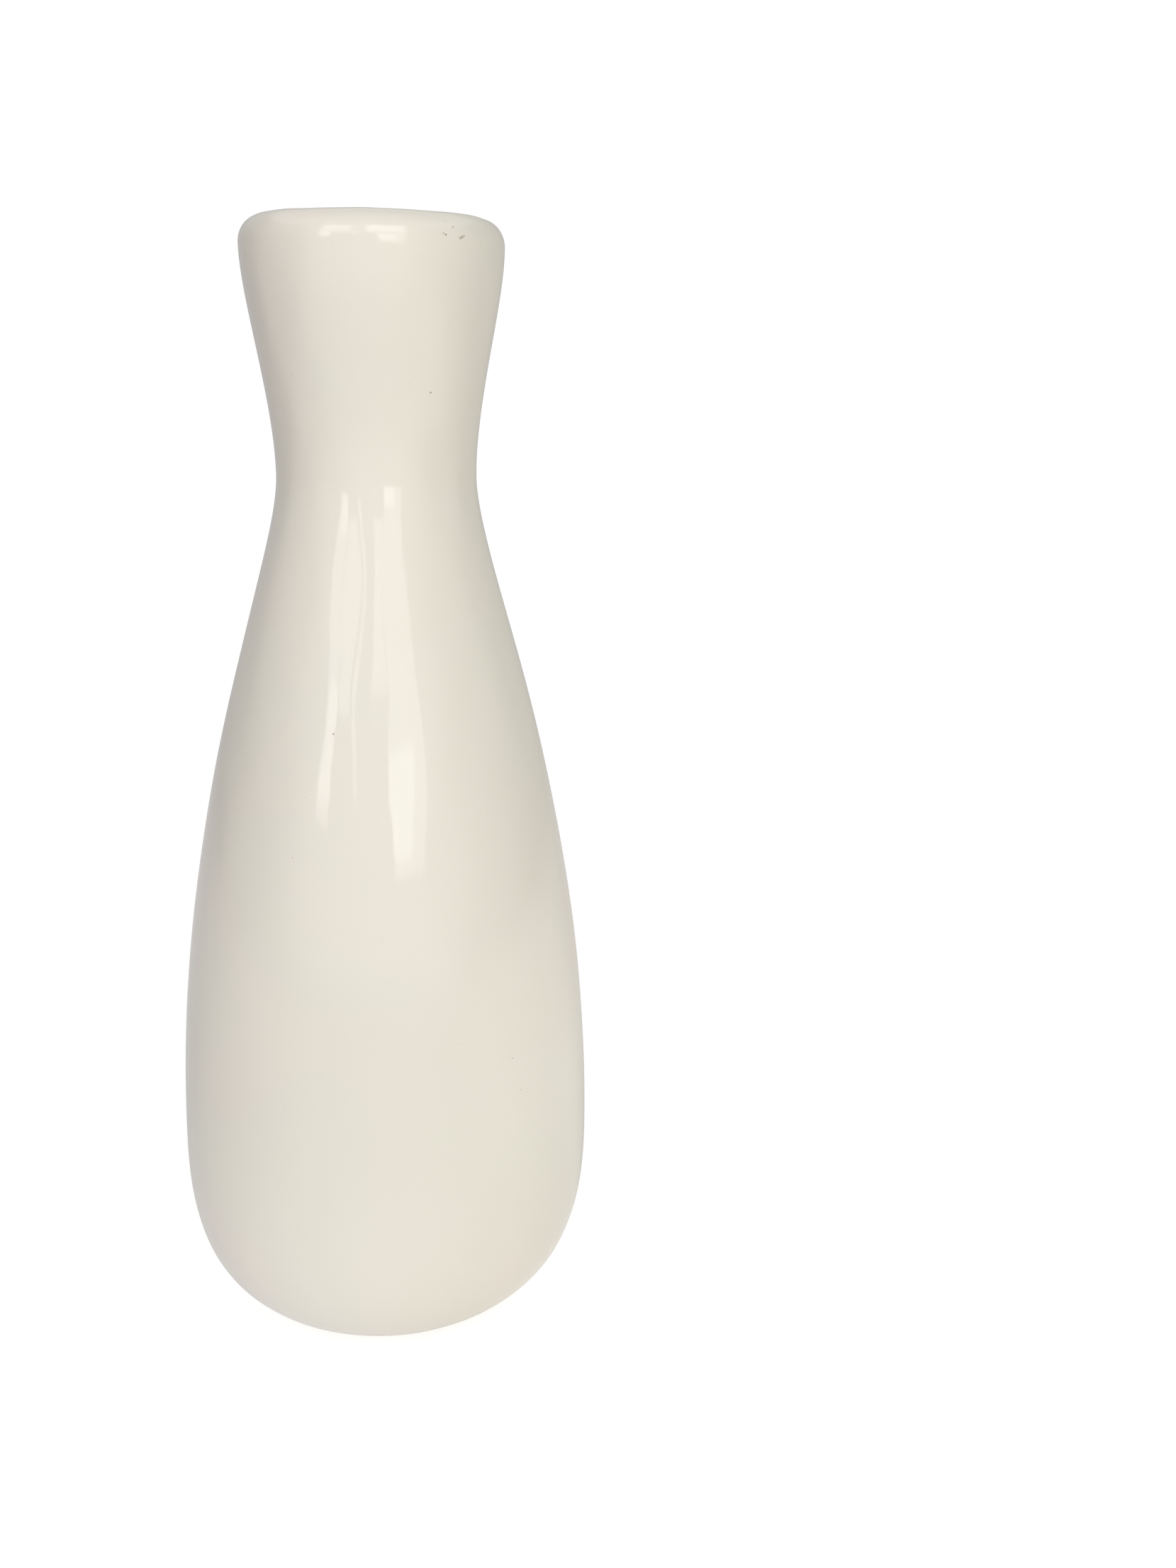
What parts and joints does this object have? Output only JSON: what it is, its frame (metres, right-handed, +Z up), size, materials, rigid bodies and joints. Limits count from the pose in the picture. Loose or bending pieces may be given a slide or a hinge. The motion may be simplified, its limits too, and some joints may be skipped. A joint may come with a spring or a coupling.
{
  "type": "bud vase",
  "caption": "Tall bottle-shaped ceramic bud vase with a low round belly, narrow neck, flared thick-lipped mouth and a dry foot ring, glazed cream.",
  "frame": {"origin": "centre of the foot ring, on the plane that the vase stands on", "axes": "+Z up along the axis of the vase towards the mouth; the vase is round, so X and Y are free"},
  "size_m": [0.0778, 0.0778, 0.203],
  "materials": {
    "bare_clay": "matte",
    "cream_glaze": "gloss",
    "liner_glaze": "gloss"
  },
  "bodies": {
    "root": {"clay_body": "bare_clay", "outer_glaze": "cream_glaze", "inner_glaze": "liner_glaze", "base_glaze": "cream_glaze"}
  },
  "joints": []
}
